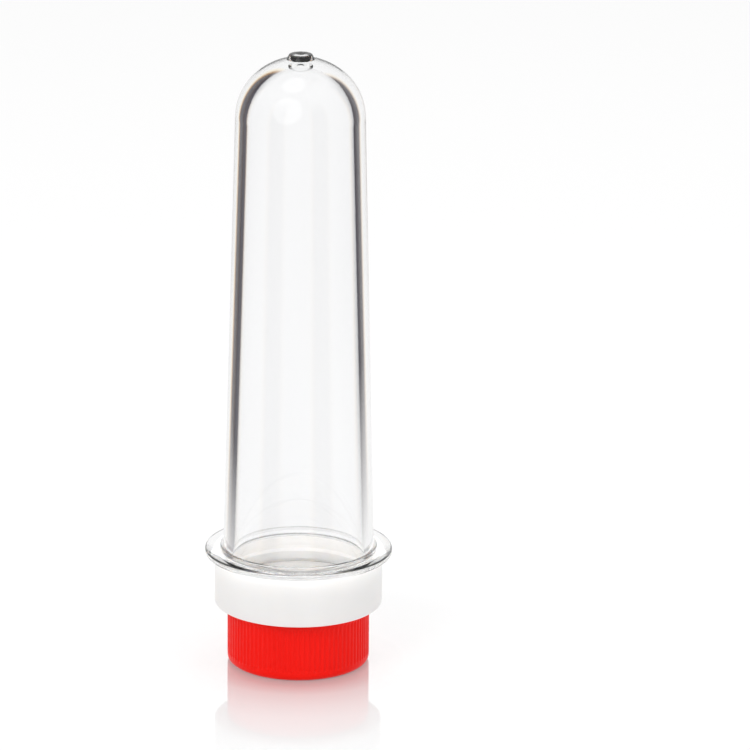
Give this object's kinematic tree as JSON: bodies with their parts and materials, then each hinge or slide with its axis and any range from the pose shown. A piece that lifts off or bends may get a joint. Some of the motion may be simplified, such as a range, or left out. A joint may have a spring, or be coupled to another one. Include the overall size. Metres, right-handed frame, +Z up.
{
  "type": "bottle preform with screw cap",
  "caption": "Clear thick-walled bottle preform, dome up, in a white threaded neck adapter, standing on its ribbed red screw cap.",
  "frame": {"origin": "centre of the cap's closed end, on the surface the part stands on", "axes": "+Z up along the tube's axis, from the cap to the dome"},
  "size_m": [0.0556, 0.0556, 0.1856],
  "materials": {
    "clear_pet": "clear injection-moulded polyester, glossy, thick wall",
    "white_plastic": "opaque white moulded plastic, semi-gloss",
    "red_plastic": "opaque bright red moulded plastic, satin, finely ribbed",
    "seal_plastic": "soft milky moulded plastic, matt"
  },
  "bodies": {
    "cap": {"screw_cap": "red_plastic"},
    "seal": {"seal_plug": "seal_plastic"},
    "bottle": {"neck_adapter": "white_plastic", "preform": "clear_pet"}
  },
  "joints": [
    {"name": "cap_turn", "type": "hinge", "parent": "cap", "child": "seal", "pos_m": [0, 0, 0.0176], "axis": [0, 0, 1], "range_deg": [0, 1440]},
    {"name": "screw_lift", "type": "slide", "parent": "seal", "child": "bottle", "axis": [0, 0, 1], "range_m": [0, 0.01272]}
  ],
  "couplings": [
    {"joint": "screw_lift", "follows": "cap_turn", "m_per_rad": 0.00050611}
  ]
}
